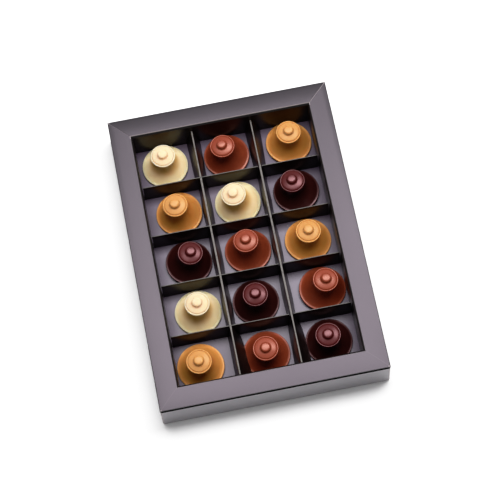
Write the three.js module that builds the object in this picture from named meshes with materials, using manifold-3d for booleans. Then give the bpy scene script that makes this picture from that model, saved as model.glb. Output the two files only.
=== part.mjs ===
// A box of chocolate pralines: a flat card box with a broad mitred frame round its window, folded
// card dividers that make three columns and five rows of cells, and one moulded praline in each cell.
// Millimetres, +Z up, +Y along the length. The origin is the middle of the box's underside.
import * as THREE from 'three';
import { mergeVertices } from 'three/addons/utils/BufferGeometryUtils.js';
import Module from 'manifold-3d';

const wasm = await Module();
wasm.setup();

// Box
const BOX_WIDTH = 150;
const BOX_LENGTH = 208;
const BOX_HEIGHT = 28.5;
const CARD = 1.2;
const GAP = 0.3;
const CORNER_RADIUS = 1;
const BOTTOM_ROUND = 1.4;
const ARC_STEPS = 3;

// Frame: a broad rail that climbs slightly towards the window, and a skirt down to the floor
const RAIL_WIDTH = 13.8;
const RAIL_THICK = 0.9;
const RAIL_CLIMB = 0.8;
const SHADOW_GAP = 0.6;
const SKIRT_THICK = 0.8;
const SKIRT_LEAN = 1.3;

// Floor and dividers
const FLOOR_TOP = 7;
const DIVIDER_TOP = 22.6;
const LEAF = 0.45;
const FOLD_HALF = 0.35;
const CELL_ACROSS = 40.4;
const CELL_ALONG = 35.85;
const COLUMNS = 3;
const ROWS = 5;
const LONG_SPREAD = { crossing: 1.6, middle: 2.9, end: 4.6 };
const CROSS_SPREAD = { crossing: 1.3, middle: 1.6, end: 1.6 };
const CROSS_SLOT_HALF = 1.7;
const LONG_SLOT_HALF = 2.1;
const STATION_STEP = 6;

// Praline: a bell with a knobbed cap
const BASE_RADIUS = 15.5;
const BASE_ROUND = 0.6;
const FLANGE_EDGE = 1.1;
const FLANGE_INNER = 1.4;
const BELL_FOOT_RADIUS = 13.6;
const NECK_RADIUS = 6.9;
const NECK_HEIGHT = 14;
const BELL_POWER = 1.8;
const BELL_STEPS = [0, 0.15, 0.35, 0.65, 1];
const BEAD_RADIUS = 8.35;
const BEAD_UNDER = 15.6;
const BEAD_SIDE = 16.2;
const BEAD_TOP = 16.6;
const BEAD_CREST_RADIUS = 7.9;
const GROOVE_RADIUS = 7.15;
const GROOVE_HEIGHT = 16.25;
const FACE_RADIUS = 6.5;
const FACE_EDGE = 17.05;
const FACE_INNER = 3.9;
const FACE_TOP = 17.75;
const NUB_RADIUS = 2.95;
const NUB_MIDDLE = 18.6;
const NUB_TOP = 20.3;
const NUB_ANGLES = [-35, 15, 50, 90];
const LEAN_HEIGHT = 17.4;
const TILT_SHARE = 0.35;
const ROUND_SEGMENTS = 18;

// Each praline: kind, its place from the box's middle, and how far its face stands off to the side,
// partly because the praline tilts and partly because it was cast crooked. Rows run from the back.
const PRALINES = [
  ['white', -42, 73, -0.4, 0.8], ['milk', 0.3, 71.9, -2.3, 0.7], ['caramel', 43.4, 73, 0.3, 0.8],
  ['caramel', -38.8, 36.4, -1.8, 0.2], ['white', 1.3, 36.2, -2.5, 0.3], ['dark', 41.4, 36.4, -2.3, 1.5],
  ['dark', -38.8, 0.3, 2.2, 0.5], ['milk', 1.4, 0.5, -0.7, 1.6], ['caramel', 42, 0.2, 0.5, 0.3],
  ['white', -39, -35.5, 0.3, 0.6], ['dark', -0.3, -35.9, 0, -0.3], ['milk', 44.3, -35.8, 2.4, 0.2],
  ['caramel', -44, -72.8, -0.6, -1.6], ['milk', -0.3, -72.8, -0.5, -1.5], ['dark', 41.2, -72.6, -0.8, -0.8],
];

const MATERIALS = {
  card: { color: 0x877d8a, roughness: 0.55, metalness: 0 },
  floor: { color: 0x7d7884, roughness: 0.6, metalness: 0 },
  divider: { color: 0x17120f, roughness: 0.3, metalness: 0 },
  white: { color: 0xf0e0b4, roughness: 0.45, metalness: 0 },
  caramel: { color: 0xc98745, roughness: 0.42, metalness: 0 },
  milk: { color: 0x84402c, roughness: 0.4, metalness: 0 },
  dark: { color: 0x3a1a1a, roughness: 0.35, metalness: 0 },
};

const group = new THREE.Group();

function addMesh(name, geometry, material) {
  const mesh = new THREE.Mesh(geometry, new THREE.MeshStandardMaterial(MATERIALS[material]));
  mesh.name = name;
  group.add(mesh);
  return mesh;
}

// Skins a list of rings that have the same number of points. A wrapped list joins its last ring to
// its first one; an open list gets an end face at each end, fanned from one of the ring's points.
function loft(rings, { wrap = false, fan = 0 } = {}) {
  const count = rings[0].length;
  const indices = [];
  const spans = wrap ? rings.length : rings.length - 1;
  for (let span = 0; span < spans; span += 1) {
    const here = span * count;
    const next = ((span + 1) % rings.length) * count;
    for (let i = 0; i < count; i += 1) {
      const j = (i + 1) % count;
      indices.push(here + i, here + j, next + j, here + i, next + j, next + i);
    }
  }
  if (!wrap) {
    const last = (rings.length - 1) * count;
    for (let step = 1; step < count - 1; step += 1) {
      const a = (fan + step) % count;
      const b = (fan + step + 1) % count;
      indices.push(fan, b, a, last + fan, last + a, last + b);
    }
  }
  const geometry = new THREE.BufferGeometry();
  geometry.setAttribute('position', new THREE.Float32BufferAttribute(rings.flat(2), 3));
  geometry.setIndex(indices);
  geometry.computeVertexNormals();
  return geometry;
}

// A level loop round the box, anticlockwise from above, a given distance in from its outer sides
function boxRing(inset, z, radius = 0) {
  const halfX = BOX_WIDTH / 2 - inset;
  const halfY = BOX_LENGTH / 2 - inset;
  const corners = [[1, 1], [-1, 1], [-1, -1], [1, -1]];
  const steps = radius > 0 ? ARC_STEPS : 0;
  return corners.flatMap(([signX, signY], corner) => {
    const points = [];
    for (let i = 0; i <= steps; i += 1) {
      const angle = (corner + (steps > 0 ? i / steps : 0.5)) * (Math.PI / 2);
      const x = signX * (halfX - radius) + radius * Math.cos(angle);
      const y = signY * (halfY - radius) + radius * Math.sin(angle);
      points.push([x, y, z]);
    }
    return points;
  });
}

// The open card tray: rounded under edge, upright walls, flat floor inside
function trayGeometry() {
  const wallTop = BOX_HEIGHT - RAIL_CLIMB - RAIL_THICK - SHADOW_GAP;
  const rings = [];
  for (let i = 0; i <= ARC_STEPS; i += 1) {
    const angle = (i / ARC_STEPS) * (Math.PI / 2);
    const inset = BOTTOM_ROUND * (1 - Math.sin(angle));
    rings.push(boxRing(inset, BOTTOM_ROUND * (1 - Math.cos(angle)), CORNER_RADIUS));
  }
  rings.push(boxRing(0, wallTop, CORNER_RADIUS));
  rings.push(boxRing(CARD, wallTop, CORNER_RADIUS));
  rings.push(boxRing(CARD, CARD, CORNER_RADIUS));
  return loft(rings);
}

// The frame: one section of rail and skirt carried round the box, so that its corners are mitred
function frameGeometry() {
  const outerTop = BOX_HEIGHT - RAIL_CLIMB;
  const skirtFoot = FLOOR_TOP + GAP;
  const railUnder = BOX_HEIGHT - RAIL_THICK;
  const section = [
    [0, outerTop - RAIL_THICK],
    [0, outerTop],
    [RAIL_WIDTH, BOX_HEIGHT],
    [RAIL_WIDTH + SKIRT_LEAN, skirtFoot],
    [RAIL_WIDTH + SKIRT_LEAN - SKIRT_THICK, skirtFoot],
    [RAIL_WIDTH - SKIRT_THICK, railUnder],
  ];
  return loft(section.map(([inset, z]) => boxRing(inset, z)), { wrap: true });
}

// The cushioned floor, which fills the tray up to the surface that the pralines stand on
function floorGeometry() {
  const inset = CARD + GAP;
  return loft([CARD + GAP, FLOOR_TOP].map((z) => boxRing(inset, z, CORNER_RADIUS)));
}

// How far a folded divider's leaves stand apart: pinched where it crosses another, wide at free ends
function spreadAt(along, crossings, halfLength, spread) {
  const pitch = crossings.length > 1 ? crossings[1] - crossings[0] : halfLength;
  const last = crossings[crossings.length - 1];
  const beyond = Math.abs(along) - last;
  if (beyond > 0) {
    const share = Math.min(1, beyond / (halfLength - last));
    return spread.crossing + (spread.end - spread.crossing) * Math.sin((share * Math.PI) / 2);
  }
  const phase = ((along - crossings[0]) / pitch) * Math.PI;
  return spread.crossing + (spread.middle - spread.crossing) * Math.sin(phase) ** 2;
}

// A strip of card folded along its top edge, its two leaves standing apart at the foot
function foldedDivider(halfLength, crossings, spread) {
  const foot = FLOOR_TOP + GAP;
  const count = Math.round((2 * halfLength) / STATION_STEP);
  const rings = [];
  for (let i = 0; i <= count; i += 1) {
    const along = halfLength - (2 * halfLength * i) / count;
    const out = FOLD_HALF + spreadAt(along, crossings, halfLength, spread);
    const apex = DIVIDER_TOP - LEAF * 2;
    rings.push([
      [0, along, apex],
      [out - LEAF, along, foot],
      [out, along, foot],
      [FOLD_HALF, along, DIVIDER_TOP],
      [-FOLD_HALF, along, DIVIDER_TOP],
      [-out, along, foot],
      [LEAF - out, along, foot],
    ]);
  }
  return loft(rings);
}

function toSolid(geometry) {
  const bare = geometry.clone();
  bare.deleteAttribute('normal');
  bare.deleteAttribute('uv');
  const merged = mergeVertices(bare);
  return new wasm.Manifold(new wasm.Mesh({
    numProp: 3,
    vertProperties: new Float32Array(merged.attributes.position.array),
    triVerts: new Uint32Array(merged.index.array),
  }));
}

function toGeometry(solid) {
  const mesh = solid.getMesh();
  const geometry = new THREE.BufferGeometry();
  geometry.setAttribute('position', new THREE.BufferAttribute(mesh.vertProperties, 3));
  geometry.setIndex(new THREE.BufferAttribute(mesh.triVerts, 1));
  geometry.computeVertexNormals();
  return geometry;
}

// Cuts one notch through a divider at each crossing, from the low height up to the high one
function notched(geometry, places, half, low, high) {
  let solid = toSolid(geometry);
  for (const place of places) {
    const notch = new THREE.BoxGeometry(4 * LONG_SPREAD.end, 2 * half, high - low);
    notch.translate(0, place, (low + high) / 2);
    solid = solid.subtract(toSolid(notch));
  }
  return toGeometry(solid);
}

// Places of the dividers, counted from the middle of the box
function crossingPlaces(cells, pitch) {
  return Array.from({ length: cells - 1 }, (_, i) => (i + 1 - cells / 2) * pitch);
}

function addDividers() {
  const reach = RAIL_WIDTH + SKIRT_LEAN + GAP;
  const longPlaces = crossingPlaces(COLUMNS, CELL_ACROSS);
  const crossPlaces = crossingPlaces(ROWS, CELL_ALONG);
  const middle = (FLOOR_TOP + GAP + DIVIDER_TOP) / 2;
  const longHalf = BOX_LENGTH / 2 - reach;
  const crossHalf = BOX_WIDTH / 2 - reach;

  const longCard = notched(foldedDivider(longHalf, crossPlaces, LONG_SPREAD), crossPlaces,
    LONG_SLOT_HALF, 0, middle + GAP);
  longPlaces.forEach((x, i) => {
    addMesh(`long_divider_${i + 1}`, longCard.clone(), 'divider').position.x = x;
  });

  const crossCard = notched(foldedDivider(crossHalf, longPlaces, CROSS_SPREAD), longPlaces,
    CROSS_SLOT_HALF, middle - GAP, BOX_HEIGHT);
  crossPlaces.forEach((y, i) => {
    const mesh = addMesh(`cross_divider_${i + 1}`, crossCard.clone(), 'divider');
    mesh.rotation.z = Math.PI / 2;
    mesh.position.y = y;
  });
}

// Half outline of a praline, from the middle of its foot up to the top of its nub
function pralineOutline() {
  const points = [
    [0, 0],
    [BASE_RADIUS - BASE_ROUND, 0],
    [BASE_RADIUS, BASE_ROUND],
    [BASE_RADIUS, FLANGE_EDGE],
  ];
  for (const step of BELL_STEPS) {
    const radius = NECK_RADIUS + (BELL_FOOT_RADIUS - NECK_RADIUS) * (1 - step) ** BELL_POWER;
    points.push([radius, FLANGE_INNER + (NECK_HEIGHT - FLANGE_INNER) * step]);
  }
  points.push([BEAD_RADIUS, BEAD_UNDER], [BEAD_RADIUS, BEAD_SIDE], [BEAD_CREST_RADIUS, BEAD_TOP]);
  points.push([GROOVE_RADIUS, GROOVE_HEIGHT], [FACE_RADIUS, FACE_EDGE], [FACE_INNER, FACE_TOP]);
  for (const degrees of NUB_ANGLES) {
    const angle = THREE.MathUtils.degToRad(degrees);
    const height = NUB_MIDDLE + (NUB_TOP - NUB_MIDDLE) * Math.sin(angle);
    points.push([NUB_RADIUS * Math.cos(angle), height]);
  }
  points[points.length - 1][0] = 0;
  return points.map(([radius, height]) => new THREE.Vector2(radius, height));
}

function addPralines() {
  const bell = new THREE.LatheGeometry(pralineOutline(), ROUND_SEGMENTS);
  bell.rotateX(Math.PI / 2);
  const numbers = {};
  for (const [kind, x, y, leanX, leanY] of PRALINES) {
    numbers[kind] = (numbers[kind] ?? 0) + 1;
    const crooked = (1 - TILT_SHARE) / LEAN_HEIGHT;
    const skew = new THREE.Matrix4().set(
      1, 0, leanX * crooked, 0,
      0, 1, leanY * crooked, 0,
      0, 0, 1, 0,
      0, 0, 0, 1,
    );
    const mesh = addMesh(`praline_${kind}_${numbers[kind]}`, bell.clone().applyMatrix4(skew), kind);
    const tilt = Math.atan((TILT_SHARE * Math.hypot(leanX, leanY)) / LEAN_HEIGHT);
    const turn = new THREE.Vector3(-leanY, leanX, 0).normalize();
    mesh.quaternion.setFromAxisAngle(turn, tilt);
    mesh.position.set(x, y, FLOOR_TOP + GAP + (BASE_RADIUS - BASE_ROUND) * Math.sin(tilt));
  }
}

addMesh('tray', trayGeometry(), 'card');
addMesh('frame', frameGeometry(), 'card');
addMesh('floor_card', floorGeometry(), 'floor');
addDividers();
addPralines();

export default group;
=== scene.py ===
"""A box of chocolate pralines: mauve card, black folded dividers and moulded chocolate, in a studio."""
import math
from contextlib import contextmanager

import bmesh
import bpy
from mathutils import Matrix, Quaternion, Vector


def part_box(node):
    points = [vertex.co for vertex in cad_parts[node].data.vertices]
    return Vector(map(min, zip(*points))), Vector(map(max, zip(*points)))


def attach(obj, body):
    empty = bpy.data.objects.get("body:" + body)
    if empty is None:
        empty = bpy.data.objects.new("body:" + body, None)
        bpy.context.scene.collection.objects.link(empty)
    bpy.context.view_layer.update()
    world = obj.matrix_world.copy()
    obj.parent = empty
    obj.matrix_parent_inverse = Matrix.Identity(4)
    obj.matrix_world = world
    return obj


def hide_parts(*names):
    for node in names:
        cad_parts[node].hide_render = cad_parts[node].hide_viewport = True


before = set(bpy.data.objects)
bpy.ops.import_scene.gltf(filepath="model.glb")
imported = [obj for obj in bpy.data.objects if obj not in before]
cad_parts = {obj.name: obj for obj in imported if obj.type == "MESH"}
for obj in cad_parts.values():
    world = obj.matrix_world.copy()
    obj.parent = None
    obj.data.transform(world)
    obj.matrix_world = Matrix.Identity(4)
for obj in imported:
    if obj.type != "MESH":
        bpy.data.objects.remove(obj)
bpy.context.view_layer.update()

bl_info = {
    "name": "Box of Chocolate Pralines",
    "version": (1, 0, 0),
    "blender": (4, 5, 0),
    "location": "3D View > Sidebar > Pralines",
    "description": "Models a card box with fifteen moulded pralines, and a small studio round it",
    "category": "Add Mesh",
}

MM = 0.001
TINY = 0.00002
BODY = "root"

TRAY_LOW, TRAY_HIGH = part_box("tray")
FRAME_LOW, FRAME_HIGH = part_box("frame")
FLOOR_LOW, FLOOR_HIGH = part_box("floor_card")
LONG_LOW, LONG_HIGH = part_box("long_divider_1")
HALF_WIDTH, HALF_LENGTH, BOX_TOP = FRAME_HIGH
DIVIDER_TOP = LONG_HIGH.z
DIVIDER_FOOT = LONG_LOW.z
LONG_HALF = LONG_HIGH.y
CROSS_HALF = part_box("cross_divider_1")[1].x

# Above this height the mauve card is the frame's rail, and below it the tray.
PARTING = TRAY_HIGH.z + 0.4 * MM

# The slots of crossing dividers meet half way up, each with a little play.
SLOT_TOP = (DIVIDER_TOP + DIVIDER_FOOT) / 2
SLOT_PLAY = 0.3 * MM

KINDS = ("white", "caramel", "milk", "dark")
LONG_NODES = [name for name in sorted(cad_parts) if name.startswith("long_divider")]
CROSS_NODES = [name for name in sorted(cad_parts) if name.startswith("cross_divider")]

# How far the foot of each long divider's leaf stands out, in millimetres: in the back row, between
# the middle rows, and in the front row, where the right leaves lie against the pralines.
LEAF_SPREADS = [
    {"left": (4.6, 2.8, 2.9), "right": (4.7, 4.2, 8.0)},
    {"left": (4.4, 2.8, 4.0), "right": (6.0, 3.8, 7.3)},
]

# How each chocolate takes the light: the roughness, strength and tint of its gloss, the share of light
# that goes in and how far in millimetres, how mottled it is and how pale its worn edges are. Cap, neck
# and rim are painted light and shade on those places, as shares of the chocolate's own colour: the cap
# and rim tones stand in for how the light falls on them, the neck's darker tone for the shade under the
# cap.
CHOCOLATE_LOOKS = {
    "white": {
        "rough": 0.55, "gloss": 0.3, "tint": (1.0, 1.0, 0.95), "depth": 1.0, "blur": 5.0,
        "mottle": 0.05, "pale": 1.06,
        "cap": (0.94, 0.9, 0.98), "neck": (0.8, 0.62, 0.36), "rim": (1.05, 1.05, 1.02)},
    "caramel": {
        "rough": 0.34, "gloss": 0.5, "tint": (1.0, 0.86, 0.74), "depth": 0.8, "blur": 3.0,
        "mottle": 0.09, "pale": 1.15,
        "cap": (1.12, 1.27, 1.7), "neck": (0.95, 0.78, 0.7), "rim": (1.3, 1.36, 1.55)},
    "milk": {
        "rough": 0.3, "gloss": 0.8, "tint": (1.0, 0.74, 0.66), "depth": 0.15, "blur": 1.5,
        "mottle": 0.14, "pale": 1.3,
        "cap": (1.3, 1.35, 1.4), "neck": (0.9, 0.95, 1.0), "rim": (1.3, 1.4, 1.5)},
    "dark": {
        "rough": 0.28, "gloss": 0.75, "tint": (1.0, 0.66, 0.7), "depth": 0.0, "blur": 1.0,
        "mottle": 0.2, "pale": 1.1,
        "cap": (2.4, 1.3, 1.4), "neck": (0.9, 0.9, 0.9), "rim": (1.0, 1.0, 1.0)},
}


# Settings that a user would change

def size(name, description, millimetres):
    """A length, given in millimetres and kept in metres."""
    return bpy.props.FloatProperty(
        name=name, description=description, default=millimetres * MM, unit="LENGTH", precision=5)


def share(name, description, default):
    return bpy.props.FloatProperty(
        name=name, description=description, default=default, min=0.0, max=1.0, subtype="FACTOR")


def colour(name, description, default):
    return bpy.props.FloatVectorProperty(
        name=name, description=description, default=default, size=3, min=0.0, max=1.0,
        subtype="COLOR")


class CardSettings(bpy.types.PropertyGroup):
    """The tray, the frame and the floor."""

    wall: size("Wall", "Thickness of the tray's card", 1.2)
    setback: size("Setback", "How far the frame's near edge stands inside the tray's wall", 0.22)
    round: size("Rounding", "Rounding of the tray's upright and bottom edges", 1.2)
    rail_width: size("Rail width", "Breadth of the frame's top rail", 13.8)
    rail_thick: size("Rail thickness", "Height of the frame's outer lip", 0.3)
    chamfer: size("Chamfer", "Slant along the frame's outer edge", 0.36)
    rail_climb: size("Rail climb", "How far the rail rises from its outer edge to the window", 0.8)
    rail_crown: bpy.props.FloatProperty(
        name="Rail crown", description="How much of the climb lies near the outer edge",
        default=2.2, min=1.0, max=4.0)
    frame_wall: size("Frame wall", "Thickness of the frame's folded card", 0.45)
    gap: size("Gap", "How much further the tray's edge stays below the frame's lip", 1.3)
    fold: size("Fold", "Rounding of the fold at the window", 0.35)
    shoulder: size("Shoulder", "How far the black card stands out under the fold", 0.95)
    skirt_lean: size("Skirt lean", "How far the skirt's foot stands inside the fold", 1.3)
    far_lean: size("Far lean", "How much further the far skirt's foot stands in", 1.6)
    mitre: size("Mitre", "Half width and depth of the groove at the frame's far corners", 0.12)
    floor_round: size("Floor rounding", "Rounding of the floor card's edges", 0.4)
    card_colour: colour("Card", "Mauve card of the rail, under its gloss", (0.042, 0.038, 0.043))
    # The tray's card is much lighter than the rail's: painted light standing in for the light the front
    # wall takes from the table.
    lit_tray_colour: colour("Tray", "Mauve card of the tray's walls", (0.238, 0.228, 0.244))
    floor_colour: colour("Floor", "Lilac-grey card under the pralines", (0.118, 0.092, 0.13))
    # Pale paper at worn tips, rubbed mitres and the floor's flecks; along the window fold it is partly
    # a painted highlight.
    worn_colour: colour("Worn card", "Paper that shows at worn folds", (0.3, 0.27, 0.27))


class DividerSettings(bpy.types.PropertyGroup):
    """The folded card between the cells."""

    leaf: size("Leaf", "Thickness of the divider card", 0.4)
    fold_half: size("Fold", "Half width of the flat along a long divider's fold", 0.54)
    end_fold: size("End fold", "Half width of a long divider's fold in the back and front rows", 0.38)
    cross_fold: size("Cross fold", "Half width of the flat along a cross divider's fold", 0.26)
    pinch: size("Pinch", "How far the leaves close up where the dividers cross", 0.5)
    cross_spread: size("Cross spread", "How far a cross divider's leaf stands out at its foot", 1.85)
    long_slot: size("Long slot", "Half width of the slots in the long dividers", 2.1)
    cross_slot: size("Cross slot", "Half width of the slots in the cross dividers", 1.5)
    lift: size("Lift", "How far the front row's right leaves are lifted by the pralines", 1.9)
    fold_break: size("Fold break", "Rounding of the edges along a fold", 0.14)
    card_colour: colour("Card", "Near-black glossy card", (0.008, 0.006, 0.006))
    worn_colour: colour("Worn fold", "Grey that shows where the fold is rubbed", (0.27, 0.25, 0.235))


class PralineSettings(bpy.types.PropertyGroup):
    """The moulding that all pralines share, and the four kinds of chocolate."""

    base: size("Base", "Radius of the flange", 15.5)
    edge: size("Edge", "Thickness of the flange at its edge", 1.3)
    bell: size("Bell", "Radius of the bell where it meets the flange", 14.0)
    bell_power: bpy.props.FloatProperty(
        name="Bell power", description="How hollow the bell's flank is", default=2.3, min=1.0,
        max=5.0)
    neck: size("Neck", "Radius of the neck", 6.9)
    neck_top: size("Neck height", "Height of the neck's top above the foot", 14.0)
    cap: size("Cap", "Radius of the cap, to the outside of its bead", 8.35)
    bead: size("Bead", "Radius of the bead round the cap", 0.5)
    bead_top: size("Bead height", "Height of the bead's top above the foot", 16.6)
    face_top: size("Face height", "Height of the face where the hollow begins", 17.65)
    hollow: size("Hollow", "Radius of the hollow round the nub", 4.35)
    nub: size("Nub", "Radius of the nub", 3.3)
    nub_top: size("Nub top", "Height of the whole praline", 20.45)
    uneven: size("Unevenness", "How far the surface wanders from the mould", 0.22)
    tilt_share: share("Tilt share", "Share of the lean that comes from tilting", 0.35)
    white: colour("White", "Ivory white chocolate", (0.75, 0.59, 0.37))
    caramel: colour("Caramel", "Blond caramel chocolate", (0.46, 0.213, 0.056))
    milk: colour("Milk", "Red-brown milk chocolate", (0.18, 0.036, 0.016))
    dark: colour("Dark", "Dark chocolate", (0.03, 0.007, 0.006))


class StageSettings(bpy.types.PropertyGroup):
    """Camera, table and lights."""

    lens: bpy.props.FloatProperty(
        name="Lens", description="Focal length for a frame 36 mm wide", default=139.35,
        unit="CAMERA")
    camera_place: bpy.props.FloatVectorProperty(
        name="Camera", description="Where the camera stands", size=3, subtype="TRANSLATION",
        unit="LENGTH", default=(-0.04207, -0.48005, 1.20399))
    camera_aim: bpy.props.FloatVectorProperty(
        name="Aim", description="Point in the middle of the picture", size=3,
        subtype="TRANSLATION", unit="LENGTH", default=(0.00235, -0.00349, 0.02))
    camera_roll: bpy.props.FloatProperty(
        name="Roll", description="Turn of the camera about its own axis",
        default=math.radians(-5.98), subtype="ANGLE")
    table_colour: colour("Table", "Plain white table", (0.92, 0.92, 0.92))
    world_light: bpy.props.FloatProperty(
        name="Room light", description="Strength of the light from all round", default=0.395)
    top_light: bpy.props.FloatProperty(
        name="Top light", description="Power of the large softbox overhead", default=40.6,
        unit="POWER")


class BoxSettings(bpy.types.PropertyGroup):
    """All settings of the box of pralines."""

    card: bpy.props.PointerProperty(
        type=CardSettings, name="Card", description="Tray, frame and floor")
    divider: bpy.props.PointerProperty(
        type=DividerSettings, name="Dividers", description="Folded card between the cells")
    praline: bpy.props.PointerProperty(
        type=PralineSettings, name="Pralines", description="Moulding and chocolate")
    stage: bpy.props.PointerProperty(
        type=StageSettings, name="Stage", description="Camera, table and lights")


# Modelling by hand: picking, moving and finishing

def take(piece):
    """Makes this the one selected piece, in object mode."""
    if bpy.context.mode != "OBJECT":
        bpy.ops.object.mode_set(mode="OBJECT")
    bpy.ops.object.select_all(action="DESELECT")
    piece.select_set(True)
    bpy.context.view_layer.objects.active = piece


@contextmanager
def editing(piece):
    """Edit mode on one piece, with nothing picked."""
    take(piece)
    bpy.ops.object.mode_set(mode="EDIT")
    bpy.ops.mesh.select_all(action="DESELECT")
    yield
    bpy.ops.object.mode_set(mode="OBJECT")


def pick(kind, test):
    """Picks the vertices, edges or faces whose corners all pass the test."""
    bpy.ops.mesh.select_mode(type=kind)
    bpy.ops.mesh.select_all(action="DESELECT")
    data = bpy.context.edit_object.data
    mesh = bmesh.from_edit_mesh(data)
    parts = {"VERT": mesh.verts, "EDGE": mesh.edges, "FACE": mesh.faces}[kind]
    for part in parts:
        corners = [part] if kind == "VERT" else part.verts
        part.select_set(all(test(corner.co) for corner in corners))
    mesh.select_flush_mode()
    bmesh.update_edit_mesh(data)


def near(value, target):
    """Whether two lengths are the same, apart from rounding."""
    return abs(value - target) < TINY


def move(x=0.0, y=0.0, z=0.0):
    bpy.ops.transform.translate(value=(x, y, z))


def stretch(x=1.0, y=1.0, z=1.0, about=(0.0, 0.0, 0.0)):
    bpy.ops.transform.resize(value=(x, y, z), center_override=about)


def extrude(x=0.0, y=0.0, z=0.0):
    bpy.ops.mesh.extrude_region_move(TRANSFORM_OT_translate={"value": (x, y, z)})


def named(name, scale=(1.0, 1.0, 1.0)):
    """Names and scales the piece just added, and puts its place into its mesh."""
    piece = bpy.context.active_object
    piece.name = name
    piece.data.name = name
    piece.scale = scale
    take(piece)
    bpy.ops.object.transform_apply(location=True, rotation=True, scale=True)
    return piece


def add_block(name, low, high):
    """A box between two corners."""
    low, high = Vector(low), Vector(high)
    bpy.ops.object.select_all(action="DESELECT")
    bpy.ops.mesh.primitive_cube_add(size=1, location=(low + high) / 2)
    return named(name, high - low)


def add_sheet(name, half_x, half_y, z, across=1, along=1):
    """A level sheet round the origin, parted into faces across and along."""
    bpy.ops.object.select_all(action="DESELECT")
    bpy.ops.mesh.primitive_grid_add(
        x_subdivisions=across, y_subdivisions=along, size=1, location=(0, 0, z))
    return named(name, (2 * half_x, 2 * half_y, 1))


def apply_modifier(piece, kind, **settings):
    """Adds a modifier and makes its result the piece's own mesh."""
    take(piece)
    modifier = piece.modifiers.new(kind.lower(), kind)
    for name, value in settings.items():
        setattr(modifier, name, value)
    bpy.ops.object.modifier_apply(modifier=modifier.name)


def cut_away(piece, cutter):
    """Cuts one solid out of a piece and removes the cutter."""
    apply_modifier(piece, "BOOLEAN", operation="DIFFERENCE", object=cutter, solver="EXACT")
    bpy.data.objects.remove(cutter)


def copy_of(piece, name):
    """A copy with its own mesh."""
    take(piece)
    bpy.ops.object.duplicate(linked=False)
    twin = bpy.context.active_object
    twin.name = name
    twin.data.name = name
    return twin


def fit(piece, slot, node, *materials, angle=35.0):
    """Smooths a finished piece, gives it its materials and lets it stand for its node in the frame."""
    if not piece.data.polygons:
        raise RuntimeError(f"{piece.name} came out without a face")
    take(piece)
    bpy.ops.object.shade_smooth_by_angle(angle=math.radians(angle), keep_sharp_edges=True)
    for material in materials:
        piece.data.materials.append(material)
    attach(piece, BODY)
    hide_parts(node)


# Materials, with their sums written as ordinary Python

class Value:
    """An output socket of a material, on which sums can be written."""

    def __init__(self, finish, socket):
        self.finish = finish
        self.socket = socket

    def sum(self, operation, first, second=0.0):
        settings = {"operation": operation}
        return self.finish.node("ShaderNodeMath", settings, {0: first, 1: second})

    def __add__(self, other):
        return self.sum("ADD", self, other)

    def __radd__(self, other):
        return self.sum("ADD", other, self)

    def __sub__(self, other):
        return self.sum("SUBTRACT", self, other)

    def __rsub__(self, other):
        return self.sum("SUBTRACT", other, self)

    def __mul__(self, other):
        return self.sum("MULTIPLY", self, other)

    def __rmul__(self, other):
        return self.sum("MULTIPLY", other, self)

    def __abs__(self):
        return self.sum("ABSOLUTE", self)

    def least(self, other):
        return self.sum("MINIMUM", self, other)

    def most(self, other):
        return self.sum("MAXIMUM", self, other)


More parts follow.
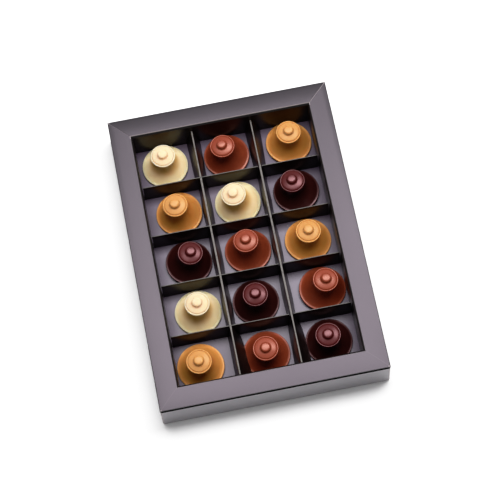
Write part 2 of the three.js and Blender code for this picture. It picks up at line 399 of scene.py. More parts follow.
class Finish:
    """A material in the making."""

    def __init__(self, name, **constants):
        self.material = bpy.data.materials.new(name)
        self.material.use_nodes = True
        self.tree = self.material.node_tree
        self.shader = self.tree.nodes["Principled BSDF"]
        for label, value in constants.items():
            self.shader.inputs[label.replace("_", " ")].default_value = value

    def node(self, kind, settings, sockets, output=0):
        """Adds a node: its settings come first, then the values or links of its sockets."""
        node = self.tree.nodes.new(kind)
        for name, value in settings.items():
            setattr(node, name, value)
        for key, value in sockets.items():
            self.feed(self.socket(node, key), value)
        return Value(self, node.outputs[output])

    def socket(self, node, key):
        """An input by its number, its identifier or its name."""
        if isinstance(key, int):
            return node.inputs[key]
        exact = [socket for socket in node.inputs if socket.identifier == key]
        return exact[0] if exact else node.inputs[key]

    def feed(self, socket, value):
        """Links a value to an input, or sets a plain number, colour or vector there."""
        if isinstance(value, Value):
            self.tree.links.new(value.socket, socket)
        elif socket.type == "RGBA":
            socket.default_value = (*value, 1.0)
        else:
            socket.default_value = value

    def set(self, label, value):
        self.feed(self.shader.inputs[label], value)

    def place(self):
        """The point on the piece, in metres."""
        return self.node("ShaderNodeTexCoord", {}, {}, output=3)

    def first_place(self):
        """The point on the piece as it was made, before it was put in its place."""
        return self.node("ShaderNodeAttribute", {"attribute_name": "first_place"}, {}, output=1)

    def split(self, vector):
        """The three parts of a vector, each as a value."""
        node = self.node("ShaderNodeSeparateXYZ", {}, {"Vector": vector}).socket.node
        return [Value(self, socket) for socket in node.outputs]

    def noise(self, vector, grain, detail=2.0, roughness=0.5):
        """Soft noise from 0 to 1 whose patches measure about grain."""
        sockets = {"Vector": vector, "Scale": 1.0 / grain, "Detail": detail, "Roughness": roughness}
        return self.node("ShaderNodeTexNoise", {}, sockets)

    def specks(self, vector, spacing):
        """How far the nearest of many scattered points is, in shares of their spacing."""
        settings = {"feature": "F1"}
        return self.node("ShaderNodeTexVoronoi", settings, {"Vector": vector, "Scale": 1.0 / spacing})

    def drawn_out(self, vector, stretch_by):
        """The same place with one direction drawn out, for streaks."""
        settings = {"operation": "MULTIPLY"}
        return self.node("ShaderNodeVectorMath", settings, {0: vector, 1: stretch_by})

    def rise(self, value, start, end):
        """A smooth mask: 0 before start and 1 past end."""
        settings = {"interpolation_type": "SMOOTHSTEP"}
        sockets = {"Value": value, "From Min": start, "From Max": end}
        return self.node("ShaderNodeMapRange", settings, sockets)

    def mix(self, mask, first, second):
        """First colour where the mask is 0, second where it is 1."""
        settings = {"data_type": "RGBA"}
        sockets = {"Factor_Float": mask, "A_Color": first, "B_Color": second}
        return self.node("ShaderNodeMix", settings, sockets, output=2)

    def bump(self, height, depth):
        """Relief whose height of 1 stands depth proud."""
        self.set("Normal", self.node("ShaderNodeBump", {}, {"Height": height, "Distance": depth}))


def scaled(colour_value, factor):
    """A colour made lighter or darker, by one factor or by one for each channel."""
    factors = factor if isinstance(factor, tuple) else (factor, factor, factor)
    return tuple(min(1.0, channel * by) for channel, by in zip(colour_value, factors))


def card_material(card, name, card_colour):
    """Mauve laminated card: fine grain, painted shade along the outer edge, a pale fold line that is
    partly rubbed and partly a painted highlight, rubbed mitres, bare tips.
    """
    finish = Finish(name, Specular_IOR_Level=0.44, Specular_Tint=(0.99, 0.87, 0.985, 1.0))
    place = finish.place()
    x, y, z = finish.split(place)
    inset = (HALF_WIDTH - abs(x)).least(HALF_LENGTH - abs(y))
    corner = (HALF_WIDTH - abs(x)).most(HALF_LENGTH - abs(y))
    rubbed = finish.noise(place, 2.2 * MM, 4.0, 0.65)
    grain = finish.noise(place, 0.22 * MM, 2.0)
    cloud = finish.noise(place, 26 * MM, 3.0)

    on_rail = finish.rise(z, PARTING, PARTING + TINY)
    far_half = finish.rise(y, 50 * MM, 60 * MM)
    right_half = finish.rise(x, 0, 10 * MM)
    lit_far_rail = finish.rise(y, 88 * MM, 89 * MM)

    # The pale line along the window fold: a little wear all round, plus a painted highlight that is
    # much stronger along the far rail.
    fold = 1 - finish.rise(abs(inset - card.rail_width), 0.35 * MM, 0.7 * MM)
    fold = fold * finish.rise(z, BOX_TOP - 0.4 * MM, BOX_TOP - 0.15 * MM) * (0.12 + lit_far_rail * 0.75)
    # Painted shade: the outer chamfer is drawn much darker, standing in for the shade along the frame's
    # outer edge.
    shaded_edge = (1 - finish.rise(inset, card.chamfer, card.chamfer + 0.15 * MM)) * on_rail
    off_mitre = abs((HALF_WIDTH - abs(x)) - (HALF_LENGTH - abs(y)) + 0.2 * MM)
    seam = (1 - finish.rise(off_mitre, 0.05 * MM, 0.3 * MM)) * finish.rise(z, 20 * MM, 21 * MM)
    seam = seam * (0.09 + far_half * (0.26 + right_half * 0.6))
    tip = 1 - finish.rise(corner + rubbed * (1.2 * MM), 1.3 * MM, 2.3 * MM)
    # Pale marks: worn tips, the mitre lines, and the fold line, which is partly a painted highlight.
    worn = fold.most(tip * 0.8).most(seam)
    tone = finish.mix(finish.rise(cloud, 0.3, 0.7), scaled(card_colour, 0.95), tuple(card_colour))
    tone = finish.mix(finish.rise(grain, 0.35, 0.75) * 0.22, tone, scaled(card_colour, 1.25))
    tone = finish.mix(shaded_edge, tone, scaled(card_colour, 0.2))
    finish.set("Base Color", finish.mix(worn, tone, tuple(card.worn_colour)))
    finish.set("Roughness", 0.26 + grain * 0.06 + cloud * 0.05 + worn * 0.2 + shaded_edge * 0.3)
    finish.bump(grain * 0.6 + rubbed * 0.8, 0.012 * MM)
    return finish.material


def floor_material(card):
    """Lilac card with a fine tooth, dusty patches and a few pale paper flecks."""
    finish = Finish("lilac_floor_card")
    place = finish.place()
    grain = finish.noise(place, 0.3 * MM, 3.0)
    cloud = finish.noise(place, 14 * MM, 3.0)
    specks = finish.specks(place, 9 * MM)
    fleck = 1 - finish.rise(specks, 0.025, 0.04)
    tone = finish.mix(cloud, scaled(card.floor_colour, 0.88), scaled(card.floor_colour, 1.08))
    tone = finish.mix(finish.rise(grain, 0.4, 0.8) * 0.25, tone, scaled(card.floor_colour, 1.35))
    finish.set("Base Color", finish.mix(fleck * 0.8, tone, tuple(card.worn_colour)))
    finish.set("Roughness", 0.34 + grain * 0.1)
    finish.bump(grain, 0.02 * MM)
    return finish.material


def black_grain(finish, divider):
    """The fine grain of black card, and the card's colour over it."""
    grain = finish.noise(finish.place(), 0.35 * MM, 2.0)
    dark, light = scaled(divider.card_colour, 0.8), scaled(divider.card_colour, 1.3)
    return grain, finish.mix(grain, dark, light)


def black_card_material(divider, name, gloss=0.5, folded=False):
    """Black glossy card that bends its reflections a little. A folded strip is rubbed grey on top."""
    finish = Finish(name, Specular_IOR_Level=gloss)
    grain, tone = black_grain(finish, divider)
    wave = finish.noise(finish.place(), 12 * MM, 1.0)
    rough = 0.27 + grain * 0.08
    if folded:
        worn = rubbed_fold(finish)
        tone = finish.mix(worn, tone, tuple(divider.worn_colour))
        rough = rough + worn * 0.3
    finish.set("Base Color", tone)
    finish.set("Roughness", rough)
    finish.bump(grain * 0.05 + wave, 0.25 * MM)
    return finish.material


def rubbed_fold(finish):
    """Where a folded strip is rubbed: patches along the two sides of its top, less in the middle."""
    height = finish.split(finish.place())[2]
    across = finish.split(finish.first_place())[0]
    fold = finish.rise(height, DIVIDER_TOP - 0.3 * MM, DIVIDER_TOP - 0.1 * MM)
    crease = finish.rise(abs(across), 0.12 * MM, 0.4 * MM) * 0.7 + 0.3
    rubbed = finish.noise(finish.place(), 1.6 * MM, 4.0, 0.6)
    return fold * crease * finish.rise(rubbed, 0.15, 0.55)


def lining_material(divider):
    """Plain black card inside the tray, seen only through the gap under the frame."""
    finish = Finish("black_lining_card", Roughness=0.6)
    finish.set("Base Color", black_grain(finish, divider)[1])
    return finish.material


def chocolate_material(praline, kind):
    """Moulded chocolate: soft mottling, a fine skin, tiny bubbles, a few crumbs, paler edges, and
    painted light and shade on the cap, neck and rim.
    """
    looks = CHOCOLATE_LOOKS[kind]
    base = tuple(getattr(praline, kind))
    finish = Finish(
        f"{kind}_chocolate", Specular_IOR_Level=looks["gloss"], Specular_Tint=(*looks["tint"], 1.0),
        Subsurface_Weight=looks["depth"], Subsurface_Radius=(1.0, 0.9, 0.72),
        Subsurface_Scale=looks["blur"] * MM)
    place = finish.place()
    x, y, z = finish.split(finish.first_place())
    level = finish.node("ShaderNodeCombineXYZ", {}, {"X": x, "Y": y})
    radius = finish.node("ShaderNodeVectorMath", {"operation": "LENGTH"}, {0: level}, output=1)
    cloud = finish.noise(place, 5 * MM, 3.0)
    skin = finish.noise(place, 0.5 * MM, 3.0, 0.6)
    scuff = finish.noise(finish.drawn_out(place, (1.0, 2.6, 1.0)), 1.3 * MM, 4.0, 0.7)
    bubble = 1 - finish.rise(finish.specks(place, 2.6 * MM), 0.035, 0.075)

    edge = finish.rise(radius, praline.base - 0.5 * MM, praline.base - 0.1 * MM)
    bead = finish.rise(z, praline.bead_top - 0.35 * MM, praline.bead_top)
    bead = bead * finish.rise(radius, praline.cap - 0.9 * MM, praline.cap - 0.7 * MM)
    face = finish.rise(z, praline.face_top - 0.8 * MM, praline.face_top - 0.4 * MM)
    round_hollow = 1 - finish.rise(abs(radius - 4.2 * MM), 0.6 * MM, 1.6 * MM)
    crumb = finish.rise(scuff, 0.66, 0.72) * face * round_hollow
    worn = (edge * 0.6).most(bead * 0.7) * finish.rise(scuff, 0.3, 0.6)

    # Painted light and shade: the neck is darkened for the shade under the cap, and the rim and cap are
    # toned for the light that falls on them.
    shaded_neck_zone = 1 - finish.rise(radius, 7.5 * MM, 11.5 * MM)
    lit_rim_zone = finish.rise(radius, 11.5 * MM, 14.5 * MM)
    lit_cap_zone = finish.rise(z, praline.neck_top, praline.bead_top)
    tone = finish.mix(cloud, scaled(base, 1 - looks["mottle"]), scaled(base, 1 + looks["mottle"]))
    tone = finish.mix(shaded_neck_zone, tone, scaled(base, looks["neck"]))
    tone = finish.mix(lit_rim_zone, tone, scaled(base, looks["rim"]))
    tone = finish.mix(lit_cap_zone, tone, scaled(base, looks["cap"]))
    tone = finish.mix(worn, tone, scaled(base, looks["pale"]))
    # Bubbles and crumbs are drawn darker; in the bubbles' dents this is painted shade.
    tone = finish.mix((bubble * 0.5).most(crumb * 0.35), tone, scaled(base, 0.6))
    finish.set("Base Color", tone)
    finish.set("Roughness", looks["rough"] + skin * 0.1 + crumb * 0.15 + edge * 0.25)
    finish.bump(skin * 0.35 + cloud * 1.5 - bubble * 0.8 + crumb * 0.9, 0.035 * MM)
    return finish.material


# Operators, one for each piece or group of like pieces

class Maker(bpy.types.Operator):
    """Shared ways of the makers."""

    bl_options = {"REGISTER", "UNDO"}

    @classmethod
    def poll(cls, context):
        return hasattr(context.scene, "praline_box")


class PRALINES_OT_tray(Maker):
    """Make the tray: a shallow card box, rounded below, open above"""

    bl_idname = "pralines.make_tray"
    bl_label = "Tray"

    def execute(self, context):
        card = context.scene.praline_box.card
        top = TRAY_HIGH - Vector((0, 0, card.gap))
        piece = add_block("tray_shell", TRAY_LOW, top)
        with editing(piece):
            pick("FACE", lambda corner: near(corner.z, top.z))
            bpy.ops.mesh.delete(type="FACE")
            bpy.ops.mesh.select_all(action="SELECT")
            bpy.ops.mesh.region_to_loop()
            bpy.ops.mesh.select_all(action="INVERT")
            bpy.ops.mesh.bevel(offset=card.round, segments=6, affect="EDGES")
        # A lighter copy of the mauve card: painted light on the tray's walls.
        piece.data.materials.append(card_material(card, "grey_tray_card", card.lit_tray_colour))
        piece.data.materials.append(lining_material(context.scene.praline_box.divider))
        apply_modifier(piece, "SOLIDIFY", thickness=card.wall, offset=-1.0,
                       material_offset=1, material_offset_rim=1)
        fit(piece, "box_card", "tray")
        return {"FINISHED"}


class PRALINES_OT_frame(Maker):
    """Make the frame: a crowned rail, mitred at its corners, with a black skirt in the window"""

    bl_idname = "pralines.make_frame"
    bl_label = "Frame"

    rail_steps = 8
    fold_steps = 4
    skirt_steps = 5

    def execute(self, context):
        box = context.scene.praline_box
        card = box.card
        outer_top = BOX_TOP - card.rail_climb - card.chamfer
        foot = FRAME_LOW.z
        piece = add_sheet("frame_card", HALF_WIDTH, HALF_LENGTH, outer_top)
        with editing(piece):
            bpy.ops.mesh.select_all(action="SELECT")
            self.raise_rail(card)
            self.turn_down_skirt(card, BOX_TOP - card.fold - foot)
            bpy.ops.mesh.delete(type="FACE")
            self.lean_far_skirt(card, foot)
            pick("EDGE", self.on_outer_edge)
            extrude(z=-card.rail_thick)
        self.two_cards(piece, card, box)
        apply_modifier(piece, "SOLIDIFY", thickness=card.frame_wall, offset=-1.0)
        with editing(piece):
            self.groove_mitres(card)
            pick("VERT", lambda corner: near(corner.y, -HALF_LENGTH))
            move(y=card.setback)
        fit(piece, "box_card", "frame", angle=28.0)
        return {"FINISHED"}

    def raise_rail(self, card):
        """Insets the sheet step by step, climbing towards the window."""
        bpy.ops.mesh.inset(thickness=card.chamfer, depth=card.chamfer)
        width = card.rail_width - card.fold - card.chamfer
        last = 0.0
        for step in range(1, self.rail_steps + 1):
            part = step / self.rail_steps
            height = card.rail_climb * (1 - (1 - part) ** card.rail_crown)
            bpy.ops.mesh.inset(thickness=width / self.rail_steps, depth=height - last)
            last = height

    def turn_down_skirt(self, card, drop):
        """Rounds the fold, then takes the skirt down to the floor."""
        quarter = math.pi / 2
        for step in range(self.fold_steps):
            start = quarter * step / self.fold_steps
            end = quarter * (step + 1) / self.fold_steps
            bpy.ops.mesh.inset(
                thickness=card.fold * (math.sin(end) - math.sin(start)),
                depth=-card.fold * (math.cos(start) - math.cos(end)))
        bpy.ops.mesh.inset(thickness=card.shoulder, depth=-card.shoulder)
        for _ in range(self.skirt_steps):
            bpy.ops.mesh.inset(
                thickness=(card.skirt_lean - card.shoulder) / self.skirt_steps,
                depth=-(drop - card.shoulder) / self.skirt_steps)

    def lean_far_skirt(self, card, foot):
        """Leans the far side of the skirt further in, as the photographed one does."""
        window = HALF_LENGTH - card.rail_width
        drop = BOX_TOP - card.fold - card.shoulder - foot
        for step in range(1, self.skirt_steps + 1):
            height = foot + drop * (1 - step / self.skirt_steps)
            pick("VERT", lambda corner: near(corner.z, height) and 0 < corner.y < window + TINY)
            move(y=-card.far_lean * step / self.skirt_steps)

    def groove_mitres(self, card):
        """Sinks a fine groove along the rail's two far corners."""
        rail_foot = BOX_TOP - card.rail_climb - TINY
        window = HALF_WIDTH - card.rail_width + card.fold - TINY

        def on_mitre(corner):
            from_side, from_end = HALF_WIDTH - abs(corner.x), HALF_LENGTH - abs(corner.y)
            on_rail = corner.z > rail_foot and window < abs(corner.x) < HALF_WIDTH - TINY
            return corner.y > 0 and near(from_side, from_end) and on_rail

        pick("EDGE", on_mitre)
        bpy.ops.mesh.bevel(offset=card.mitre, segments=2, affect="EDGES", clamp_overlap=False)
        pick("VERT", on_mitre)
        move(z=-card.mitre)

    def on_outer_edge(self, corner):
        """Whether a point lies on one of the frame's four outer sides."""
        return near(abs(corner.x), HALF_WIDTH) or near(abs(corner.y), HALF_LENGTH)

    def two_cards(self, piece, card, box):
        """Mauve card on the rail and black card down the skirt."""
        piece.data.materials.append(card_material(card, "mauve_card", card.card_colour))
        piece.data.materials.append(black_card_material(box.divider, "black_skirt_card"))
        for face in piece.data.polygons:
            below = face.center.z < BOX_TOP - card.fold
            within = abs(face.normal.z) < 0.8 and not self.on_outer_edge(face.center)
            face.material_index = 1 if below and within else 0


class PRALINES_OT_floor(Maker):
    """Make the floor: a lifted sheet of lilac card with soft edges"""

    bl_idname = "pralines.make_floor"
    bl_label = "Floor"

    def execute(self, context):
        card = context.scene.praline_box.card
        piece = add_block("floor_sheet", FLOOR_LOW, FLOOR_HIGH)
        with editing(piece):
            pick("EDGE", lambda corner: True)
            bpy.ops.mesh.bevel(offset=card.floor_round, segments=3, affect="EDGES")
        fit(piece, "floor_card", "floor_card", floor_material(card))
        return {"FINISHED"}


def fold_strip(name, half_length, divider, flat, stations, rows):
    """A strip of card folded along its top: a narrow flat with a leaf drawn down at each side."""
    piece = add_sheet(name, flat, half_length, DIVIDER_TOP, 1, stations)
    drop = (DIVIDER_TOP - DIVIDER_FOOT) / rows
    outward = (divider.cross_spread - flat) / rows
    with editing(piece):
        pick("EDGE", lambda corner: near(abs(corner.x), flat))
        half = flat
        for _ in range(rows):
            extrude(z=-drop)
            stretch(x=(half + outward) / half)
            half += outward
        bpy.ops.mesh.select_all(action="SELECT")
        bpy.ops.mesh.normals_make_consistent(inside=False)
        faces = bmesh.from_edit_mesh(piece.data).faces
        top_face = max(faces, key=lambda face: face.calc_center_median().z)
        if top_face.normal.z < 0:
            bpy.ops.mesh.flip_normals()
    return piece


def thicken_strip(piece, divider, flat):
    """Gives the folded card its thickness and breaks the sharp edges of the fold."""
    apply_modifier(piece, "SOLIDIFY", thickness=divider.leaf, offset=-1.0)
    with editing(piece):
        pick("EDGE", lambda corner: near(corner.z, DIVIDER_TOP) and near(abs(corner.x), flat))
        bpy.ops.mesh.bevel(offset=divider.fold_break, segments=2, affect="EDGES")


def remember_place(piece):
    """Keeps each vertex's place as it was made, for marks that follow the shape."""
    first = piece.data.attributes.new("first_place", "FLOAT_VECTOR", "POINT")
    for vertex in piece.data.vertices:
        first.data[vertex.index].vector = vertex.co


def slot_strip(piece, places, half, low, high):
    """Cuts an upright slot at each crossing, right through both leaves."""
    reach = 20 * MM
    for place in places:
        cutter = add_block("slot_cutter", (-reach, place - half, low), (reach, place + half, high))
        cut_away(piece, cutter)


def places_of(nodes, axis):
    """Where these dividers stand along one axis."""
    boxes = [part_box(node) for node in nodes]
    return [(low[axis] + high[axis]) / 2 for low, high in boxes]


class PRALINES_OT_long_dividers(Maker):
    """Make the long dividers: folded strips that pass over the cross dividers"""

    bl_idname = "pralines.make_long_dividers"
    bl_label = "Long dividers"

    gloss = 0.33
    stations = 36
    rows = 5

    def execute(self, context):
        divider = context.scene.praline_box.divider
        crossings = places_of(CROSS_NODES, 1)
        places = places_of(LONG_NODES, 0)
        material = black_card_material(divider, "black_long_card", self.gloss, folded=True)
        for node, place, spreads in zip(LONG_NODES, places, LEAF_SPREADS, strict=True):
            piece = fold_strip(
                f"folded_{node}", LONG_HALF, divider, divider.fold_half, self.stations, self.rows)
            self.spread_leaves(piece, divider, crossings, spreads)
            thicken_strip(piece, divider, divider.fold_half)
            slot_strip(piece, crossings, divider.long_slot, 0, SLOT_TOP + SLOT_PLAY)
            remember_place(piece)
            self.narrow_ends(piece, divider, crossings[-1] + 3 * MM)
            with editing(piece):
                bpy.ops.mesh.select_all(action="SELECT")
                move(x=place)
            fit(piece, "divider_card", node, material)
        return {"FINISHED"}

    def narrow_ends(self, piece, divider, start):
        """Makes the fold narrower in the back and front rows."""
        underside = DIVIDER_TOP - divider.leaf - TINY
        with editing(piece):
            pick("VERT", lambda corner: corner.z > underside and abs(corner.y) > start)
            stretch(x=divider.end_fold / divider.fold_half)

    def spread_leaves(self, piece, divider, crossings, spreads):
        """Opens or closes each leaf, one station of the strip after another."""
        pitch = 2 * LONG_HALF / self.stations
        front_row = crossings[0] - 2 * pitch / 3
        with editing(piece):
            for station in range(self.stations + 1):
                along = -LONG_HALF + station * pitch
                for side, sign in (("left", -1), ("right", 1)):
                    out = self.spread_at(along, divider, crossings, spreads[side])
                    for row in range(1, self.rows + 1):
                        self.open_row(divider, along, sign, row, out)
                    if side == "right" and along < front_row:
                        self.lift_foot(divider, along)

    def spread_at(self, along, divider, crossings, spread):
        """How far a leaf's foot stands out at one place of the strip."""
        back, middle, front = (value * MM for value in spread)
        last = crossings[-1]
        beyond = (abs(along) - last) / (LONG_HALF - last)
        if beyond > 0:
            end = back if along > 0 else front
            return middle + (end - middle) * beyond ** 0.4
        phase = (along - crossings[0]) / (crossings[1] - crossings[0]) * math.pi
        return middle - divider.pinch * math.cos(phase) ** 2

    def open_row(self, divider, along, sign, row, out):
        """Moves one row of one leaf to where its foot's spread asks."""
        height = DIVIDER_TOP - (DIVIDER_TOP - DIVIDER_FOOT) * row / self.rows
        pick("VERT", lambda corner: near(corner.y, along) and near(corner.z, height)
             and corner.x * sign > 0)
        now = divider.fold_half + (divider.cross_spread - divider.fold_half) * row / self.rows
        wanted = divider.fold_half + (out - divider.fold_half) * row / self.rows
        stretch(x=wanted / now)

    def lift_foot(self, divider, along):
        """Shortens the right leaf at one place, so that its foot clears the floor."""
        drop = DIVIDER_TOP - DIVIDER_FOOT
        pick("VERT", lambda corner: near(corner.y, along) and corner.x > 0)
        stretch(z=(drop - divider.lift) / drop, about=(0, 0, DIVIDER_TOP))


class PRALINES_OT_cross_dividers(Maker):
    """Make the cross dividers: folded strips with slots that take the long ones"""

    bl_idname = "pralines.make_cross_dividers"
    bl_label = "Cross dividers"

    stations = 24
    rows = 5

    def execute(self, context):
        divider = context.scene.praline_box.divider
        strip = fold_strip(
            "cross_strip", CROSS_HALF, divider, divider.cross_fold, self.stations, self.rows)
        thicken_strip(strip, divider, divider.cross_fold)
        slot_strip(
            strip, places_of(LONG_NODES, 0), divider.cross_slot, SLOT_TOP - SLOT_PLAY, BOX_TOP)
        remember_place(strip)
        material = black_card_material(divider, "black_cross_card", folded=True)
        for node, place in zip(CROSS_NODES, places_of(CROSS_NODES, 1)):
            piece = copy_of(strip, f"folded_{node}")
            with editing(piece):
                bpy.ops.mesh.select_all(action="SELECT")
                bpy.ops.transform.rotate(
                    value=math.pi / 2, orient_axis="Z", center_override=(0, 0, 0))
                move(y=place)
            fit(piece, "divider_card", node, material)
        bpy.data.objects.remove(strip)
        return {"FINISHED"}


def arc(out, up, radius, start, end, steps):
    """Points on a round stretch of an outline, its angles counted up from straight outwards."""
    points = []
    for step in range(steps + 1):
        angle = math.radians(start + (end - start) * step / steps)
        points.append((out + radius * math.cos(angle), up + radius * math.sin(angle)))
    return points


def bell_outline(praline):
    """Half outline of the moulding, from the edge of its foot up to its nub."""
    base, edge, neck, bead = praline.base, praline.edge, praline.neck, praline.bead
    out, up = praline.cap - bead, praline.bead_top - bead
    foot_round, edge_round = 0.6 * MM, 0.4 * MM
    points = [(base - 0.9 * MM, 0.0)]
    points += arc(base - foot_round, foot_round, foot_round, -70, 0, 4)
    points += arc(base - edge_round, edge - edge_round, edge_round, 0, 75, 4)
    points += bell_flank(praline, base - 0.45 * MM)
    points += [(neck + 0.1 * MM, up - bead - 0.5 * MM), (neck + 0.3 * MM, up - bead - 0.15 * MM)]
    points += arc(out, up, bead, -75, 150, 12)
    points += cap_face(praline, out - bead - 0.1 * MM)
    points += nub_outline(praline)
    return points


def bell_flank(praline, start):
    """From the level flange round into the bell and up to the neck."""
    edge = praline.edge
    points = [(start, edge + 0.02 * MM), (praline.bell + 0.4 * MM, edge + 0.14 * MM)]
    foot = edge + 0.35 * MM
    steps = 20
    for step in range(steps + 1):
        part = (step / steps) ** 1.3
        out = praline.neck + (praline.bell - praline.neck) * (1 - part) ** praline.bell_power
        points.append((out, foot + (praline.neck_top - foot) * part))
    return points


def cap_face(praline, start):
    """The cap's face: a round shoulder inside the bead, a slope and a hollow sweep up to the nub."""
    shoulder_round, slope_rise = 0.75 * MM, 0.7 * MM
    shoulder = start - shoulder_round
    slope_foot = praline.face_top - slope_rise
    points = arc(shoulder, slope_foot - shoulder_round, shoulder_round, 0, 66, 6)
    slope_start, slope_end = shoulder + 0.2 * MM, praline.hollow
    slope_steps = 6
    for step in range(1, slope_steps + 1):
        part = step / slope_steps
        out = slope_start + (slope_end - slope_start) * part
        points.append((out, slope_foot + slope_rise * part ** 0.9))
    sweep, sweep_steps = praline.hollow - praline.nub, 5
    first, last = math.radians(12), math.radians(80)
    for step in range(1, sweep_steps + 1):
        turn = first + (last - first) * step / sweep_steps
        inwards = (math.sin(turn) - math.sin(first)) / (1 - math.sin(first))
        upwards = 0.8 * (math.cos(first) - math.cos(turn))
        points.append((slope_end - sweep * inwards, praline.face_top + sweep * upwards))
    return points


def nub_outline(praline):
    """The nub: a button with a round edge that runs smoothly into a slightly domed top."""
    edge, meeting = 1.35 * MM, 82
    turn = math.radians(meeting)
    out = praline.nub - edge
    reach = out + edge * math.cos(turn)
    dome = reach / math.cos(turn)
    up = praline.nub_top - dome * (1 - math.sin(turn)) - edge * math.sin(turn)
    points = arc(out, up, edge, -12, meeting, 12)
    points += arc(0.0, praline.nub_top - dome, dome, meeting + 3, 88, 4)
    return points


class PRALINES_OT_pralines(Maker):
    """Make the pralines: one moulding, turned by hand and copied into every cell"""

    bl_idname = "pralines.make_pralines"
    bl_label = "Pralines"

    segments = 96

    def execute(self, context):
        praline = context.scene.praline_box.praline
        moulding = self.turn_moulding(praline)
        remember_place(moulding)
        drift = bpy.data.textures.new("uneven_chocolate", "CLOUDS")
        drift.noise_scale = 9 * MM
        drift.noise_depth = 1
        for kind in KINDS:
            material = chocolate_material(praline, kind)
            nodes = [name for name in sorted(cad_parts) if name.startswith(f"praline_{kind}")]
            for node in nodes:
                piece = copy_of(moulding, node.replace("praline", "moulded"))
                piece.data.transform(self.stand(praline, node))
                apply_modifier(piece, "DISPLACE", texture=drift, texture_coords="LOCAL",
                               strength=praline.uneven, mid_level=0.5)
                fit(piece, f"{kind}_chocolate", node, material, angle=60.0)
        bpy.data.objects.remove(moulding)
        return {"FINISHED"}

    def turn_moulding(self, praline):
        """Draws the half outline point by point and spins it once round."""
        bpy.ops.object.select_all(action="DESELECT")
        bpy.ops.mesh.primitive_plane_add(size=MM)
        piece = named("praline_moulding")
        outline = bell_outline(praline)
        with editing(piece):
            bpy.ops.mesh.select_mode(type="VERT")
            bpy.ops.mesh.select_all(action="SELECT")
            bpy.ops.mesh.merge(type="CENTER")
            at = (0.0, 0.0)
            for point in outline:
                extrude(x=point[0] - at[0], z=point[1] - at[1])
                at = point
            extrude(x=-at[0], z=praline.nub_top - at[1])
            bpy.ops.mesh.select_all(action="SELECT")
            bpy.ops.mesh.spin(
                steps=self.segments, angle=2 * math.pi, center=(0, 0, 0), axis=(0, 0, 1))
            bpy.ops.mesh.select_all(action="SELECT")
            bpy.ops.mesh.remove_doubles(threshold=TINY / 2)
            bpy.ops.mesh.normals_make_consistent(inside=False)
        return piece

    def stand(self, praline, node):
        """Places the moulding where the frame's praline stands, with the same lean."""
        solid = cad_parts[node]
        corners = [solid.matrix_world @ vertex.co for vertex in solid.data.vertices]
        middle = sum(corners, Vector()) / len(corners)
        top = max(corners, key=lambda corner: corner.z)
        slope = (top - middle) / (top.z - middle.z)
        lean = Vector((slope.x, slope.y, 0))
        tilt = math.atan(praline.tilt_share * lean.length)
        lift = (praline.base - 0.6 * MM) * math.sin(tilt)
        foot = middle + slope * (DIVIDER_FOOT + lift - middle.z)
        skew = Matrix.Identity(4)
        skew[0][2] = lean.x * (1 - praline.tilt_share)
        skew[1][2] = lean.y * (1 - praline.tilt_share)
        turn = Matrix.Rotation(tilt, 4, Vector((-lean.y, lean.x, 0)))
        return Matrix.Translation(foot) @ turn @ skew


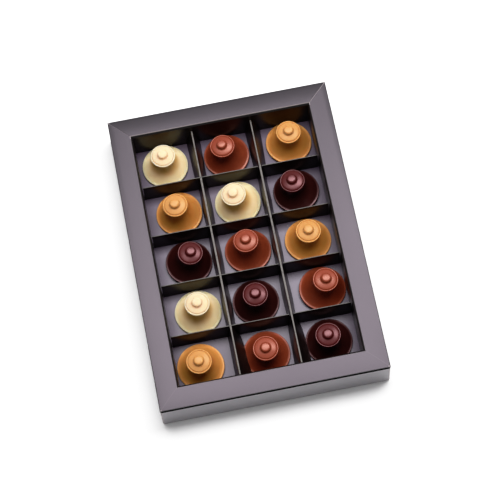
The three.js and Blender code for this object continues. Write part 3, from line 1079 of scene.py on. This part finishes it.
class PRALINES_OT_stage(Maker):
    """Make the stage: a white table, soft studio light and the camera"""

    bl_idname = "pralines.make_stage"
    bl_label = "Stage"

    table_half = 3.0
    table_steps = 12
    softbox_place = (0.38, 0.45, 1.6)
    softbox_sides = (1.92, 0.82)
    contrast = ((0.012, 0.005), (0.05, 0.036), (0.2, 0.18), (0.5, 0.55), (0.8, 0.9))

    def execute(self, context):
        stage = context.scene.praline_box.stage
        self.lay_table(stage)
        self.aim_camera(context, stage)
        self.hang_softbox(context, stage)
        self.light_room(context, stage)
        self.set_contrast(context.scene.view_settings)
        return {"FINISHED"}

    def set_contrast(self, view):
        """A plain picture with a little more contrast, as from a camera."""
        view.view_transform = "Standard"
        view.use_curve_mapping = True
        for place in self.contrast:
            view.curve_mapping.curves[3].points.new(*place)
        view.curve_mapping.update()

    def lay_table(self, stage):
        """A sheet that curves up behind, far from the box."""
        half = self.table_half
        table = add_sheet("table", half, half, 0.0, self.table_steps, self.table_steps)
        with editing(table):
            pick("EDGE", lambda corner: near(corner.y, half))
            extrude(y=0.4, z=0.3)
            extrude(y=0.2, z=1.2)
        finish = Finish("white_table", Roughness=0.7, Specular_IOR_Level=0.2)
        grain = finish.noise(finish.place(), 3 * MM, 2.0)
        finish.set("Base Color", finish.mix(
            grain, scaled(stage.table_colour, 0.99), tuple(stage.table_colour)))
        table.data.materials.append(finish.material)

    def aim_camera(self, context, stage):
        """A camera at the photograph's angle, turned a little about its own axis."""
        lens = bpy.data.cameras.new("camera")
        lens.lens = stage.lens
        lens.sensor_width = 36.0
        camera = bpy.data.objects.new("camera", lens)
        context.scene.collection.objects.link(camera)
        camera.location = stage.camera_place
        ahead = Vector(stage.camera_aim) - Vector(stage.camera_place)
        level = ahead.to_track_quat("-Z", "Y")
        camera.rotation_euler = (level @ Quaternion((0, 0, 1), stage.camera_roll)).to_euler()
        context.scene.camera = camera

    def hang_softbox(self, context, stage):
        """A broad softbox overhead that faces straight down."""
        data = bpy.data.lights.new("top_softbox", "AREA")
        data.shape = "RECTANGLE"
        data.size, data.size_y = self.softbox_sides
        data.energy = stage.top_light
        light = bpy.data.objects.new("top_softbox", data)
        context.scene.collection.objects.link(light)
        light.location = self.softbox_place

    def light_room(self, context, stage):
        """Even white light from all round."""
        world = bpy.data.worlds.new("room")
        world.use_nodes = True
        background = world.node_tree.nodes["Background"]
        background.inputs["Color"].default_value = (1.0, 1.0, 1.0, 1.0)
        background.inputs["Strength"].default_value = stage.world_light
        context.scene.world = world


class PRALINES_PT_panel(bpy.types.Panel):
    """Lists the makers and their settings."""

    bl_idname = "PRALINES_PT_panel"
    bl_label = "Box of pralines"
    bl_space_type = "VIEW_3D"
    bl_region_type = "UI"
    bl_category = "Pralines"

    def draw(self, context):
        layout = self.layout
        for maker in MAKERS:
            layout.operator(maker.bl_idname)
        box = context.scene.praline_box
        for settings in (box.card, box.divider, box.praline, box.stage):
            column = layout.box().column()
            for name in settings.__annotations__:
                column.prop(settings, name)


SETTINGS = (CardSettings, DividerSettings, PralineSettings, StageSettings, BoxSettings)
MAKERS = (
    PRALINES_OT_tray,
    PRALINES_OT_frame,
    PRALINES_OT_floor,
    PRALINES_OT_long_dividers,
    PRALINES_OT_cross_dividers,
    PRALINES_OT_pralines,
    PRALINES_OT_stage,
)


def register():
    for part in (*SETTINGS, *MAKERS, PRALINES_PT_panel):
        bpy.utils.register_class(part)
    bpy.types.Scene.praline_box = bpy.props.PointerProperty(
        type=BoxSettings, name="Box of pralines", description="Sizes, colours and light")


def unregister():
    del bpy.types.Scene.praline_box
    for part in reversed((*SETTINGS, *MAKERS, PRALINES_PT_panel)):
        bpy.utils.unregister_class(part)


def main():
    register()
    bpy.ops.pralines.make_tray()
    bpy.ops.pralines.make_frame()
    bpy.ops.pralines.make_floor()
    bpy.ops.pralines.make_long_dividers()
    bpy.ops.pralines.make_cross_dividers()
    bpy.ops.pralines.make_pralines()
    bpy.ops.pralines.make_stage()


if __name__ == "__main__":
    main()
